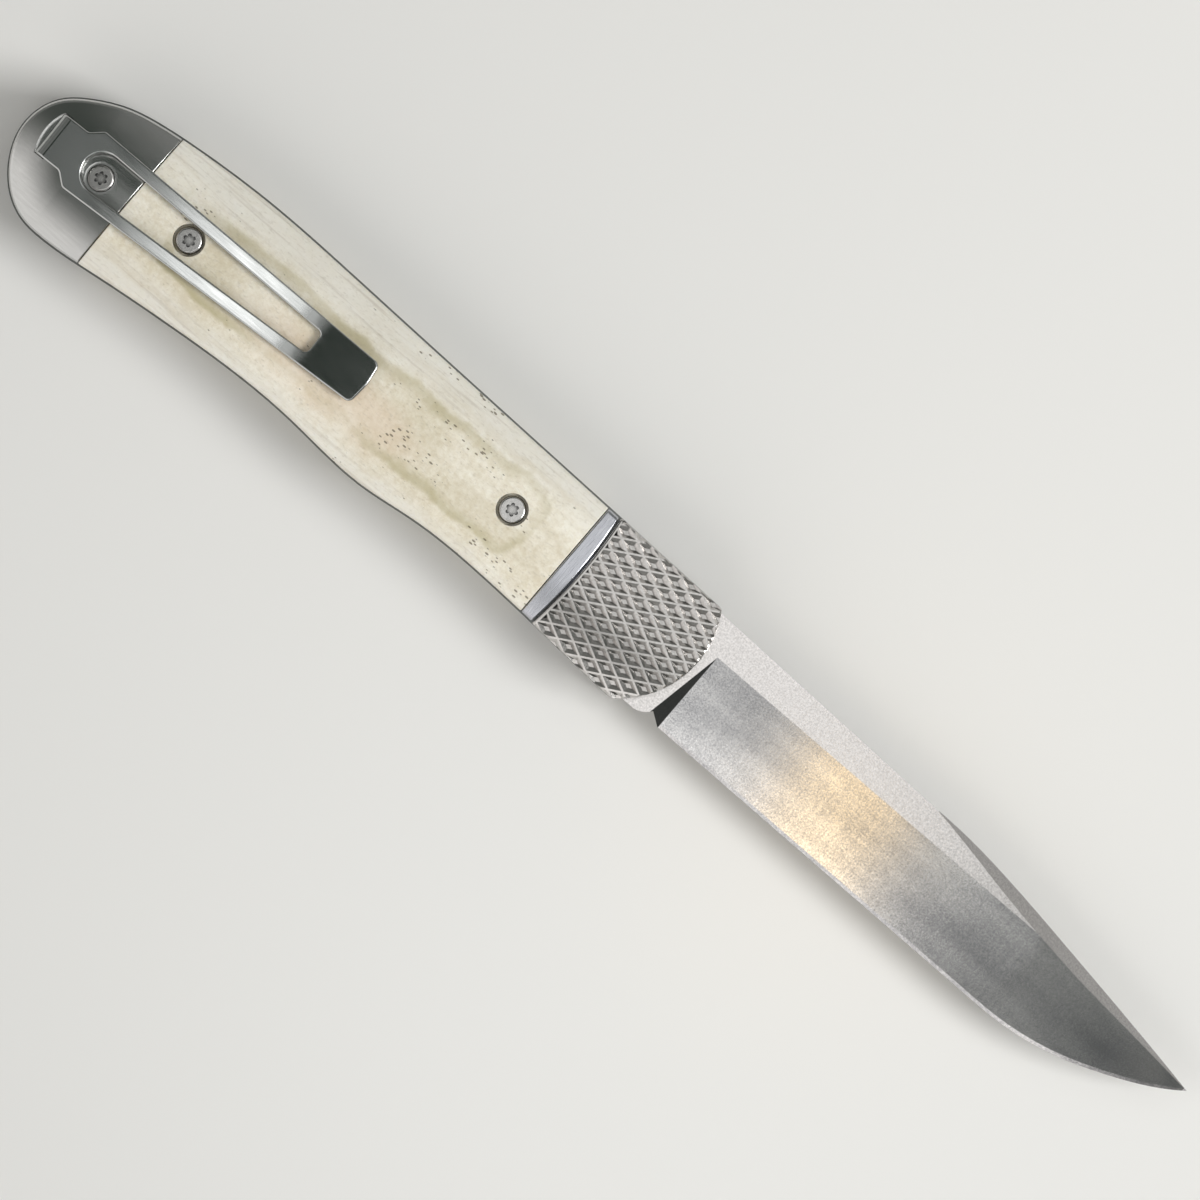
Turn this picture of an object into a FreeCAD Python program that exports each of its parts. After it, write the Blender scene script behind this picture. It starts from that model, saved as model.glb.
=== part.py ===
import FreeCAD, Part
import math
import os

V = FreeCAD.Vector

# A side-opening folding knife, drawn open and lying on its left side.
# +X points to the blade's tip, +Y to the spine, +Z to the clip side. Lengths are in millimetres.
# Every piece is drawn about the blade's pivot axis, with the blade's middle plane at zero height.
# The finished pieces are then moved together, so that the middle of the underside is the origin.

# Outer form of the handle, measured from the pivot axis
butt_reach = 99.0
nose_reach = 9.5
belly_drop = 10.75
spine_wall = 3.4
nose_radius = 13.0
nose_height = 2.5
# The handle's outline, from the nose along the spine, round the butt and back along the belly.
# Each pair is a share of butt_reach, counted to the rear, and a share of spine_rise or belly_drop.
spine_shares = [(0.237, 0.902), (0.436, 0.951), (0.574, 0.989), (0.695, 1.0), (0.802, 0.943),
                (0.864, 0.876), (0.909, 0.784), (0.954, 0.591), (0.985, 0.362)]
butt_share = 0.139
belly_shares = [(0.985, 0.528), (0.954, 0.841), (0.924, 0.972), (0.890, 1.0), (0.802, 0.918),
                (0.695, 0.805), (0.497, 0.724), (0.375, 0.770), (0.299, 0.685), (0.177, 0.657)]
# Where that outline runs out past the nose: a share of nose_reach, and of spine_rise or belly_drop
front_share = 1.35
front_spine_share = 0.806
front_belly_share = 0.781

# Layers, from the blade outwards
blade_thickness = 3.0
washer_thickness = 0.3
blade_side_play = 0.05
liner_thickness = 1.2
side_thickness = 3.2

# The crowned outside of both handle sides
bone_land_half = 3.4
edge_wall = 1.7
metal_set = 0.1
rim_round = 0.7
crown_front_height = 1.3
crown_butt_height = -0.4
crown_half_share = 0.805
upright_share = 0.01
side_inset = 0.25
seam = 0.1
cap_length = 16.7
band_joint_reach = 11.58
band_width = 2.39
seam_round = 0.15
band_round = 0.25

# Blade
tip_room = 7.5
tip_rise = 1.4
blade_spine_rise = 9.35
blade_edge_drop = 7.5
heel_reach = 10.95
heel_drop = 7.05
notch_length = 1.7
notch_drop = 5.85
kick_drop = 7.2
kick_round_length = 2.15
# Shares of tip_reach with shares of blade_spine_rise or blade_edge_drop
blade_spine_shares = [(0.488, 0.849), (0.572, 0.812), (0.654, 0.713), (0.777, 0.525), (0.914, 0.303)]
blade_edge_shares = [(0.70, 1.0), (0.766, 0.956), (0.832, 0.793), (0.898, 0.50), (0.964, 0.111)]
kick_round_share = 0.62
# The top of the main bevel, which becomes the ridge between bevel and swedge near the tip
grind_shares = [(0.13, 0.485), (0.702, 0.458), (0.791, 0.337), (0.90, 0.243)]
ridge_start_share = 0.702
swedge_start_share = 0.49
swedge_line_shares = [(0.57, 0.70), (0.626, 0.586)]
swedge_slope_share = 0.38
edge_thickness = 0.44
edge_bevel_height = 0.45
apex_thickness = 0.08
tip_thickness = 0.3
plunge_gap = 0.1
plunge_run = 2.6
belly_steps = 12
swedge_steps = 8

# Pivot and stop
pivot_radius = 2.3
pivot_bore_radius = 1.1
pivot_fit = 0.03
pivot_head_radius = 3.1
pivot_head_depth = 0.6
pivot_thread_length = 2.0
pivot_slot_half = 0.28
washer_pin_gap = 0.24
stop_pin_radius = 1.25
stop_pin_angle = 108.0
stop_play = 0.08
pin_fit = 0.02
thread_fit = 0.02

# Kick spring, coiled in a ring-shaped recess in the tang's left face
hub_wall = 1.0
recess_width = 2.5
recess_rim = 0.7
recess_depth = 1.1
kick_strip_thickness = 0.36
kick_strip_width = 0.9
kick_turns = 2
kick_spare_share = 0.5
kick_play = 0.15

# Release lever, the bolster that it carries and the arc between bolster and band
lever_thickness = 0.9
lever_half_width = 3.0
lever_eye_radius = 3.6
lever_play = 0.05
lever_headroom = 0.15
lever_side_play = 0.25
lever_front_reach = 6.4
swing_angle = 1.5
bolster_gap = 0.2
bolster_inset = 0.05
nose_overhang = 0.3
bolster_round = 0.25
bolster_rim_round = 0.45
lever_rear_screw_reach = 0.6
lever_front_screw_reach = 4.6
lever_screw_radius = 0.7
lever_screw_head_radius = 1.3
lever_screw_head = 0.45
lever_screw_bite = 1.2
stud_radius = 2.0
stud_foot_radius = 1.6
running_fit = 0.03

# Knurl of both bolsters: diamond pits between crossing ridges
knurl_pitch_along = 3.55
knurl_pitch_across = 2.0
knurl_ridge = 0.24
knurl_depth = 0.42
knurl_wall_run = 0.48
knurl_rise_share = 0.9
knurl_start = 1.23
knurl_rear_margin = 0.45

# Sear: a leaf in the right liner with a pin into the tang and a T-head over the lever
sear_angle = 153.0
sear_pin_radius = 0.75
sear_edge = 0.85
sear_engagement = 0.6
sear_lift_play = 0.06
sear_seat_play = 0.1
sear_leaf_thickness = 0.45
sear_leaf_half_width = 1.15
sear_tail_gap = 2.87
sear_slot_play = 0.15
sear_tail_length = 4.6
sear_head_half_length = 1.6
sear_head_half_width = 1.4
sear_head_thickness = 0.4
sear_rivet_radius = 0.6
ramp_width = 0.8

# Lever return spring
return_post_gap = 22.48
return_spring_length = 19.0
return_strip_thickness = 0.4
return_eye_radius = 1.3
return_post_radius = 0.8

# Backspacer and the pins through it
well_clearance = 0.7
spacer_front_gap = 0.9
well_tip_clearance = 3.4
well_bend_share = 0.78
well_end_share = 0.42
frame_pin_radius = 0.75
frame_pin_shares = [0.16, 0.40, 0.64]
spacer_inset = 0.15

# Screws that hold the bone and the caps, each placed by its gap to the nearest joint in the handle's side
front_screw_gap = 9.06
front_screw_height = 1.89
rear_screw_gap = 8.92
rear_screw_height = 1.26
cap_screw_gap = 4.55
cap_screw_height = 0.0
screw_head_radius = 1.75
screw_head_height = 1.15
screw_shank_radius = 1.0
screw_head_round = 0.35
counterbore_radius = 2.08
counterbore_depth = 1.3
screw_end_inset = 0.1
lobe_drive_radius = 0.88
lobe_drive_depth = 0.75
lobe_share = 0.28
shank_play = 0.1

# Band rivets and the screws of the left bolster, with their heights in shares of spine_rise
band_rivet_radius = 0.5
band_rivet_bite = 1.4
band_rivet_shares = [0.66, -0.38]
left_screw_radius = 0.9
left_screw_head_radius = 1.5
left_screw_head = 0.5
left_screw_bite = 1.8
left_screw_rear_inset = 2.8
left_screw_front_inset = 4.75
left_screw_rear_share = 0.38
left_screw_front_share = -0.33

# Pocket clip
clip_thickness = 0.8
clip_butt_inset = 3.6
clip_leaf_length = 50.9
clip_bend_length = 10.0
clip_foot_gap = 0.7
clip_root_gap = 0.9
clip_bend_gap = 0.2
clip_tip_lift = 0.75
clip_tilt = 1.9
clip_axis_height = 0.5
clip_tab_half = 3.05
clip_tab_length = 3.9
clip_shoulder_half = 4.45
clip_shoulder_length = 1.6
clip_tip_half = 3.1
clip_tip_round = 0.9
clip_tip_bulge = 0.35
clip_window_round = 2.7
clip_window_end_length = 8.5
clip_window_end_half = 1.6
clip_window_corner = 0.7
clip_bend_round = 1.3
clip_slot_play = 0.12
clip_slot_bow = 0.75

# One overrun serves every cut that has to pass through
overrun = 5.0

# The handle is deep enough for the closed blade, and the blade is as long as the handle allows
spine_rise = blade_edge_drop + well_clearance + spine_wall
tip_reach = butt_reach - tip_room
tang_radius = pivot_radius + hub_wall + recess_width + recess_rim
notch_reach = heel_reach - notch_length
kick_front_reach = notch_reach - kick_round_length
plunge_reach = heel_reach + plunge_gap
crown_half_width = crown_half_share * (spine_rise + belly_drop) / 2

# Places along the handle, counted to the rear
rear_screw_reach = butt_reach - cap_length - rear_screw_gap
front_screw_reach = band_joint_reach + front_screw_gap
cap_screw_reach = butt_reach - cap_length + cap_screw_gap
return_spring_reach = rear_screw_reach - return_post_gap
clip_tip_reach = butt_reach - clip_butt_inset - clip_leaf_length
clip_bend_reach = clip_tip_reach + clip_bend_length

# Heights of the layers above the blade's middle plane
blade_half = blade_thickness / 2
half_gap = blade_half + blade_side_play + washer_thickness
liner_out = half_gap + liner_thickness
side_out = liner_out + side_thickness
lever_low = liner_out + lever_play
lever_top = lever_low + lever_thickness
pocket_roof = lever_top + lever_headroom

# The lever's stud stands under the rear scale screw, and the band's front edge is an arc about it
stud_x = -rear_screw_reach
stud_y = rear_screw_height
swing_radius = rear_screw_reach - band_joint_reach + band_width
cap_joint_x = cap_length - butt_reach
swing = math.radians(swing_angle)

# The stop pin clears the tang's round and touches a shoulder at each end of the blade's travel
stop_reach = tang_radius + stop_play + stop_pin_radius
stop_x = stop_reach * math.cos(math.radians(stop_pin_angle))
stop_y = stop_reach * math.sin(math.radians(stop_pin_angle))

# The sear pin stands inside the tang's round, and its lift clears the tang
sear_reach = tang_radius - sear_edge - sear_pin_radius
sear_x = sear_reach * math.cos(math.radians(sear_angle))
sear_y = sear_reach * math.sin(math.radians(sear_angle))
sear_travel = (sear_x - stud_x) * math.tan(swing)
sear_lift = sear_engagement + sear_lift_play
sear_low = half_gap + blade_side_play
sear_high = sear_low + sear_leaf_thickness
sear_head_low = lever_top + lever_play
sear_tail_x = sear_tail_gap - front_screw_reach
sear_rivet_x = sear_tail_x + sear_tail_length / 2


def block(x0, x1, y0, y1, z0, z1):
    return Part.makeBox(x1 - x0, y1 - y0, z1 - z0, V(x0, y0, z0))


def rod(x, y, z0, z1, radius):
    return Part.makeCylinder(radius, z1 - z0, V(x, y, z0))


def ring(x, y, z0, z1, inner, outer):
    return rod(x, y, z0, z1, outer).cut(rod(x, y, z0 - overrun, z1 + overrun, inner))


def left_of(shape):
    # The same piece on the knife's left side
    return shape.mirror(V(0, 0, 0), V(0, 0, 1))


def prism(points, z0, z1):
    wire = Part.makePolygon([V(x, y, z0) for x, y in points + points[:1]])
    return Part.Face(wire).extrude(V(0, 0, z1 - z0))


def spline(points):
    curve = Part.BSplineCurve()
    curve.interpolate([V(x, y, 0) for x, y in points])
    return curve


def handle_points():
    # The outline from the nose along the spine to the butt, and back along the belly
    front = front_share * nose_reach
    points = [(front, front_spine_share * spine_rise)]
    points += [(-x * butt_reach, y * spine_rise) for x, y in spine_shares]
    points.append((-butt_reach, -butt_share * belly_drop))
    points += [(-x * butt_reach, -y * belly_drop) for x, y in belly_shares]
    points.append((front, -front_belly_share * belly_drop))
    return points


def handle_curve(inset):
    # Each point moves inwards, square to the line between its neighbours
    points = handle_points()
    last = len(points) - 1
    moved = []
    for i, (x, y) in enumerate(points):
        x0, y0 = points[max(i - 1, 0)]
        x1, y1 = points[min(i + 1, last)]
        length = math.hypot(x1 - x0, y1 - y0)
        moved.append((x - inset * (y1 - y0) / length, y + inset * (x1 - x0) / length))
    return spline(moved)


def handle_plate(inset, z0, z1):
    curve = handle_curve(inset)
    front = Part.LineSegment(curve.EndPoint, curve.StartPoint)
    face = Part.Face(Part.Wire([curve.toShape(), front.toShape()]))
    face.translate(V(0, 0, z0))
    return face.extrude(V(0, 0, z1 - z0))


def spine_height_at(x):
    # Height of the handle's outline above the pivot axis, found between the nose and the butt
    curve = handle_curve(0)
    start, end = curve.FirstParameter, curve.parameter(V(-butt_reach, -butt_share * belly_drop, 0))
    for step in range(40):
        middle = (start + end) / 2
        if curve.value(middle).x > x:
            start = middle
        else:
            end = middle
    return curve.value(start).y


def behind_nose(shrink):
    # Everything behind the bolster's round nose
    centre = nose_reach - nose_radius
    height = side_out + overrun
    rear, low, high = -butt_reach - overrun, -belly_drop - overrun, spine_rise + overrun
    back = block(rear, centre, low, high, -height, height)
    return back.fuse(rod(centre, nose_height, -height, height, nose_radius - shrink))


def crown_placement(crest, radius):
    # The crown's axis follows the middle of the handle, which drops slightly to the butt
    tilt = math.degrees(math.atan((crown_front_height - crown_butt_height) / butt_reach))
    turn = FreeCAD.Rotation(V(0, 0, 1), tilt)
    return FreeCAD.Placement(V(0, crown_front_height, crest - radius), turn)


def crown(crest, radius):
    # A long round bar with a ball end at the butt, which domes the outside of the handle
    ball = crown_half_width - butt_reach
    front = front_share * nose_reach + overrun
    arc_middle = V(ball - radius * math.sqrt(0.5), radius * math.sqrt(0.5), 0)
    arc = Part.Arc(V(ball - radius, 0, 0), arc_middle, V(ball, radius, 0))
    top = Part.LineSegment(V(ball, radius, 0), V(front, radius, 0))
    end = Part.LineSegment(V(front, radius, 0), V(front, 0, 0))
    axis = Part.LineSegment(V(front, 0, 0), V(ball - radius, 0, 0))
    face = Part.Face(Part.Wire([e.toShape() for e in (arc, top, end, axis)]))
    solid = face.revolve(V(0, 0, 0), V(1, 0, 0), 360)
    solid.Placement = crown_placement(crest, radius)
    return solid


def crown_radius(drop):
    return (drop ** 2 + crown_half_width ** 2) / (2 * drop)


def rim_edges(shape, low):
    # Edges between an upright wall, whose normal hardly rises, and the crowned top
    edges = []
    for edge in shape.Edges:
        faces = shape.ancestorsOfType(edge, Part.Face)
        normals = [f.normalAt(*f.Surface.parameter(edge.CenterOfMass)) for f in faces]
        upright = [abs(normal.z) < upright_share for normal in normals]
        if edge.BoundBox.ZMin > low and len(set(upright)) == 2:
            edges.append(edge)
    return edges


metal_crown = crown_radius(side_thickness - metal_set - edge_wall)
bone_crown = crown_radius(side_thickness - edge_wall)


def crowned_side(inset, crest, radius):
    # The right side of the handle, before it is divided into cap, bone, band and bolster
    plate = handle_plate(inset, liner_out, side_out)
    domed = plate.common(crown(crest, radius))
    return domed.makeFillet(rim_round, rim_edges(domed, liner_out))


def span(x0, x1):
    reach = spine_rise + belly_drop
    return block(x0, x1, -reach, reach, -side_out - overrun, side_out + overrun)


def swing_disc(radius):
    return rod(stud_x, stud_y, -side_out - overrun, side_out + overrun, radius)


def placed_about_stud(x, y, angle):
    # Where a point of the frame lies on the lever when the lever has swung by this angle
    dx, dy = x - stud_x, y - stud_y
    turn = -angle
    return (stud_x + dx * math.cos(turn) - dy * math.sin(turn),
            stud_y + dx * math.sin(turn) + dy * math.cos(turn))


def swing_slot(x, y, radius, z0, z1):
    # A slot in the lever for something fixed to the frame, over the whole swing
    x1, y1 = placed_about_stud(x, y, swing)
    length = math.hypot(x1 - x, y1 - y)
    side = V((y1 - y) / length * radius, -(x1 - x) / length * radius, 0)
    corners = [V(x, y, z0) + side, V(x1, y1, z0) + side, V(x1, y1, z0) - side, V(x, y, z0) - side]
    straight = Part.Face(Part.makePolygon(corners + corners[:1])).extrude(V(0, 0, z1 - z0))
    return straight.fuse([rod(x, y, z0, z1, radius), rod(x1, y1, z0, z1, radius)])


# Blade


def blade_curves():
    spine_points = [(x * tip_reach, y * blade_spine_rise) for x, y in blade_spine_shares]
    edge_points = [(x * tip_reach, -y * blade_edge_drop) for x, y in blade_edge_shares]
    tip = (tip_reach, tip_rise)
    return spine_points + [tip], [tip] + edge_points[::-1]


def along(points, x):
    # Height of a line through points at a place between them
    for (x0, y0), (x1, y1) in zip(points, points[1:]):
        if x <= x1:
            break
    return y0 + (y1 - y0) * (x - x0) / (x1 - x0)


def curve_height(curve, x):
    upright = Part.LineSegment(V(x, -belly_drop - overrun, 0), V(x, spine_rise + overrun, 0))
    return upright.toShape().distToShape(curve.toShape())[1][0][1].y


def section(x, low, high, z_low, z_high, run=0):
    # Upright four-sided cutter section above a slanted line, drawn a little past both of its ends
    slope = (z_high - z_low) / (high - low)
    past = edge_bevel_height
    top = blade_half + overrun
    corners = []
    for y, z in ((low - past, None), (high + past, None), (high + past, top), (low - past, top)):
        on_line = z_low + slope * (y - low)
        height = on_line if z is None else z
        corners.append(V(x - run * (height - on_line) / blade_half, y, height))
    return Part.makePolygon(corners + corners[:1])


def grind_line():
    points = [(x * tip_reach, y * blade_spine_rise) for x, y in grind_shares]
    return points + [(tip_reach, tip_rise)]


def ridge_half(x):
    # Half thickness along the top of the bevel: full to the ridge's start, then thinning to the tip
    start = ridge_start_share * tip_reach
    if x <= start:
        return blade_half
    return blade_half + (tip_thickness / 2 - blade_half) * (x - start) / (tip_reach - start)


def blade_stations(start, count):
    # Even steps from a place on the blade to just behind the tip
    end = tip_reach - edge_bevel_height
    return [start + (end - start) * i / count for i in range(count + 1)]


def heel_line():
    return [(heel_reach, -heel_drop), (blade_edge_shares[0][0] * tip_reach, -blade_edge_drop)]


def edge_height(edge_curve, x):
    # The edge runs straight from the heel to the belly, and then curves up to the tip
    straight = heel_line()
    return along(straight, x) if x < straight[1][0] else curve_height(edge_curve, x)


def bevel_section(edge_curve, x, run=0):
    half = ridge_half(x)
    return section(x, edge_height(edge_curve, x), along(grind_line(), x), edge_half(x), half, run)


def edge_half(x):
    # Half thickness behind the sharpened edge, which thins with the tip
    return min(edge_thickness / 2, ridge_half(x) / 2)


def edge_section(edge_curve, x):
    low, high = edge_height(edge_curve, x), along(grind_line(), x)
    rear = edge_half(x) + (ridge_half(x) - edge_half(x)) * edge_bevel_height / (high - low)
    return section(x, low, low + edge_bevel_height, apex_thickness / 2, rear)


def past_tip(wire, height):
    return wire.translated(V(overrun, tip_rise - height, 0))


def bevel_cutters(edge_curve):
    # What lies above the main bevel and above the narrow sharpened edge, from the plunge to the tip
    belly = ridge_start_share * tip_reach
    stations = blade_stations(belly, belly_steps)
    end = edge_height(edge_curve, stations[-1])
    flat = [bevel_section(edge_curve, plunge_reach, plunge_run), bevel_section(edge_curve, belly)]
    curved = [bevel_section(edge_curve, x) for x in stations]
    thin = [edge_section(edge_curve, x) for x in [plunge_reach] + stations]
    return [Part.makeLoft(flat, True, True),
            Part.makeLoft(curved, True, False),
            Part.makeLoft([curved[-1], past_tip(curved[-1], end)], True, True),
            Part.makeLoft(thin + [past_tip(thin[-1], end)], True, True)]


def swedge_cutters(spine_curve):
    # What lies above the swedge on the front of the spine
    start = swedge_start_share * tip_reach
    first = (start, along_spine(spine_curve, start))
    line = [first] + [(x * tip_reach, y * blade_spine_rise) for x, y in swedge_line_shares]
    line += [p for p in grind_line() if p[0] >= ridge_start_share * tip_reach]

    def swedge_section(x):
        high = along_spine(spine_curve, x)
        low = min(along(line, x), high - apex_thickness)
        spine_half = max(ridge_half(x) - swedge_slope_share * (high - low), apex_thickness)
        return section(x, low, high, ridge_half(x), spine_half)

    ridge = ridge_start_share * tip_reach
    rising = [swedge_section(start + (ridge - start) * i / swedge_steps) for i in range(swedge_steps + 1)]
    stations = blade_stations(ridge, swedge_steps)
    falling = [swedge_section(x) for x in stations]
    end = along_spine(spine_curve, stations[-1])
    return [Part.makeLoft(rising, True, True),
            Part.makeLoft(falling, True, False),
            Part.makeLoft([falling[-1], past_tip(falling[-1], end)], True, True)]


def along_spine(spine_curve, x):
    first_x, first_y = blade_spine_shares[0]
    if x > first_x * tip_reach:
        return curve_height(spine_curve, x)
    return along([(stop_x, blade_spine_rise), (first_x * tip_reach, first_y * blade_spine_rise)], x)


def blade_blank(spine_curve, edge_curve):
    shoulder = stop_x + stop_pin_radius + stop_play / 2
    kick_rear = -stop_x + stop_pin_radius + stop_play / 2
    tang_top = V(shoulder, blade_spine_rise, 0)
    heel = V(heel_reach, -heel_drop, 0)
    notch = V(notch_reach, -notch_drop, 0)
    kick_front = V(kick_front_reach, -kick_drop, 0)
    kick_back = V(kick_rear, -kick_drop, 0)
    bulge = V(kick_front.x + (notch.x - kick_front.x) * kick_round_share,
              kick_front.y + (notch.y - kick_front.y) * (1 - kick_round_share), 0)
    edges = [
        Part.LineSegment(tang_top, spine_curve.StartPoint),
        spine_curve,
        edge_curve,
        Part.LineSegment(edge_curve.EndPoint, heel),
        Part.LineSegment(heel, notch),
        Part.Arc(notch, bulge, kick_front),
        Part.LineSegment(kick_front, kick_back),
        Part.LineSegment(kick_back, V(kick_rear, 0, 0)),
        Part.LineSegment(V(kick_rear, 0, 0), V(shoulder, 0, 0)),
        Part.LineSegment(V(shoulder, 0, 0), tang_top),
    ]
    face = Part.Face(Part.Wire([e.toShape() for e in edges]))
    face.translate(V(0, 0, -blade_half))
    blank = face.extrude(V(0, 0, blade_thickness))
    return blank.fuse(rod(0, 0, -blade_half, blade_half, tang_radius)).removeSplitter()


def blade():
    spine_points, edge_points = blade_curves()
    spine_curve, edge_curve = spline(spine_points), spline(edge_points)
    solid = blade_blank(spine_curve, edge_curve)
    for cutter in bevel_cutters(edge_curve) + swedge_cutters(spine_curve):
        solid = solid.cut(cutter).cut(left_of(cutter))
    solid = solid.cut(rod(0, 0, -blade_half - overrun, blade_half + overrun, pivot_radius + pivot_fit))
    recess_inner = pivot_radius + hub_wall
    recess_outer = tang_radius - recess_rim
    recess_floor = recess_depth - blade_half
    solid = solid.cut(ring(0, 0, -blade_half - overrun, recess_floor, recess_inner, recess_outer))
    seat_floor = blade_half - sear_engagement - sear_seat_play
    for side in (1, -1):
        seat = rod(side * sear_x, side * sear_y, seat_floor, blade_half + overrun,
                   sear_pin_radius + sear_seat_play)
        solid = solid.cut(seat)
    return solid


# Pivot, stop, washers and kick spring


def pivot_end():
    return liner_out - pivot_head_depth


def pivot_barrel():
    return ring(0, 0, -pivot_end(), pivot_end(), pivot_bore_radius, pivot_radius)


def pivot_screws():
    head = rod(0, 0, pivot_end(), liner_out, pivot_head_radius)
    shank = rod(0, 0, pivot_end() - pivot_thread_length, pivot_end(), pivot_bore_radius - thread_fit)
    slot = block(-pivot_head_radius / 2, pivot_head_radius / 2, -pivot_slot_half, pivot_slot_half,
                 liner_out - pivot_head_depth / 2, liner_out + overrun)
    screw = head.fuse(shank).cut(slot)
    return Part.makeCompound([screw, left_of(screw)])


def washer(outer):
    return ring(0, 0, half_gap - washer_thickness, half_gap, pivot_radius + pivot_fit, outer)


def stop_pin():
    return rod(stop_x, stop_y, -liner_out, liner_out, stop_pin_radius)


def kick_spring():
    # A flat strip wound in half turns about two centres, so that each half turn is a little larger
    inner = pivot_radius + hub_wall + kick_play + kick_strip_thickness / 2
    outer = tang_radius - recess_rim - kick_play - kick_strip_thickness / 2
    halves = 2 * kick_turns
    step = (outer - inner) / (halves + kick_spare_share)
    arcs = []
    for i in range(halves):
        radius = inner + step * i
        centre = 0 if i % 2 == 0 else -step
        side = 1 if i % 2 == 0 else -1
        reach = side * radius
        arc = Part.Arc(V(centre + reach, 0, 0), V(centre, reach, 0), V(centre - reach, 0, 0))
        arcs.append(arc.toShape())
    path = Part.Wire(arcs)
    first = arcs[0].Vertexes[0].Point
    half = kick_strip_thickness / 2
    corners = [V(first.x - half, 0, 0), V(first.x + half, 0, 0),
               V(first.x + half, 0, kick_strip_width), V(first.x - half, 0, kick_strip_width)]
    coil = path.makePipeShell([Part.makePolygon(corners + corners[:1])], True, False)
    floor_gap = (recess_depth - kick_strip_width) / 2
    coil.translate(V(0, 0, recess_depth - blade_half - floor_gap - kick_strip_width))
    print("gap between the kick spring's turns", 2 * step - kick_strip_thickness)
    return coil


# Liners, backspacer and frame pins


def frame_pin_places():
    places = []
    low = blade_edge_drop + well_clearance
    for share in frame_pin_shares:
        x = -share * butt_reach
        places.append((x, (low + spine_height_at(x)) / 2))
    well_end = tip_reach + well_tip_clearance
    places.append((-(butt_reach + well_end) / 2, -butt_share * belly_drop))
    return places


def frame_pins():
    pins = [rod(x, y, -liner_out, liner_out, frame_pin_radius) for x, y in frame_pin_places()]
    return Part.makeCompound(pins)


def scale_screw_places():
    return [(-front_screw_reach, front_screw_height), (-rear_screw_reach, rear_screw_height)]


def cap_screw_place():
    return -cap_screw_reach, cap_screw_height


def band_rivet_places():
    # Midway between the band's straight rear edge and its arc
    places = []
    for share in band_rivet_shares:
        y = share * spine_rise
        arc = stud_x + math.sqrt(swing_radius ** 2 - (y - stud_y) ** 2)
        places.append(((arc - band_joint_reach) / 2, y))
    return places


def plain_liner():
    # What both liners share, drawn on the right side
    plate = handle_plate(0, half_gap, liner_out).common(behind_nose(nose_overhang))
    low, high = half_gap - overrun, liner_out + overrun
    holes = [rod(0, 0, low, high, pivot_radius + pin_fit),
             rod(0, 0, pivot_end(), high, pivot_head_radius + pin_fit),
             rod(stop_x, stop_y, low, high, stop_pin_radius + pin_fit)]
    holes += [rod(x, y, low, high, frame_pin_radius + pin_fit) for x, y in frame_pin_places()]
    holes += [rod(x, y, low, high, band_rivet_radius + pin_fit) for x, y in band_rivet_places()]
    x, y = cap_screw_place()
    holes.append(rod(x, y, low, high, screw_shank_radius + thread_fit))
    x, y = scale_screw_places()[0]
    holes.append(rod(x, y, low, high, screw_shank_radius + thread_fit))
    return plate.cut(holes)


def right_liner():
    low, high = half_gap - overrun, liner_out + overrun
    play = sear_slot_play
    width = sear_leaf_half_width + play
    slot_rear = sear_tail_x + sear_tail_length
    slot = block(slot_rear, sear_x, sear_y - width, sear_y + width, low, high)
    slot = slot.fuse(rod(sear_x, sear_y, low, high, width))
    tail = block(sear_tail_x - play, sear_x, sear_y - width, sear_y + width, low, sear_high)
    rivet = rod(sear_rivet_x, sear_y, low, high, sear_rivet_radius + pin_fit)
    post = rod(-return_spring_reach, return_spring_height(), low, high, return_post_radius + pin_fit)
    stud = rod(stud_x, stud_y, low, high, stud_foot_radius + pin_fit)
    return plain_liner().cut([slot, tail, rivet, post, stud])


def left_liner():
    low, high = half_gap - overrun, liner_out + overrun
    x, y = scale_screw_places()[1]
    liner = plain_liner().cut(rod(x, y, low, high, screw_shank_radius + thread_fit))
    for x, y in left_screw_places():
        liner = liner.cut(rod(x, y, low, high, left_screw_radius + thread_fit))
        liner = liner.cut(rod(x, y, low, half_gap + left_screw_head, left_screw_head_radius + pin_fit))
    return left_of(liner)


def blade_well(z0, z1):
    # The space that the closed blade needs: straight above its edge, then bending down past its tip
    top = blade_edge_drop + well_clearance
    end_x = -tip_reach - well_tip_clearance
    bend = V(-well_bend_share * tip_reach, top, z0)
    end = V(end_x, -well_end_share * belly_drop, z0)
    # The arc leaves the straight run smoothly
    dx, dy = end.x - bend.x, end.y - bend.y
    radius = -(dx ** 2 + dy ** 2) / (2 * dy)
    half = math.asin(-dx / radius) / 2
    middle = V(bend.x - radius * math.sin(half), top - radius * (1 - math.cos(half)), z0)
    low = -belly_drop - overrun
    front = nose_reach + overrun
    corners = [V(end_x, low, z0), V(front, low, z0), V(front, top, z0), bend]
    edges = [Part.LineSegment(end, corners[0]).toShape()]
    edges += [Part.LineSegment(a, b).toShape() for a, b in zip(corners, corners[1:])]
    edges.append(Part.Arc(bend, middle, end).toShape())
    return Part.Face(Part.Wire(edges)).extrude(V(0, 0, z1 - z0))


def backspacer():
    plate = handle_plate(spacer_inset, -half_gap, half_gap)
    front = stop_x - stop_pin_radius - spacer_front_gap
    plate = plate.cut(blade_well(-half_gap - overrun, half_gap + overrun))
    plate = plate.common(span(-butt_reach - overrun, front))
    low, high = -half_gap - overrun, half_gap + overrun
    return plate.cut([rod(x, y, low, high, frame_pin_radius + pin_fit) for x, y in frame_pin_places()])


# Screws


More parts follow.
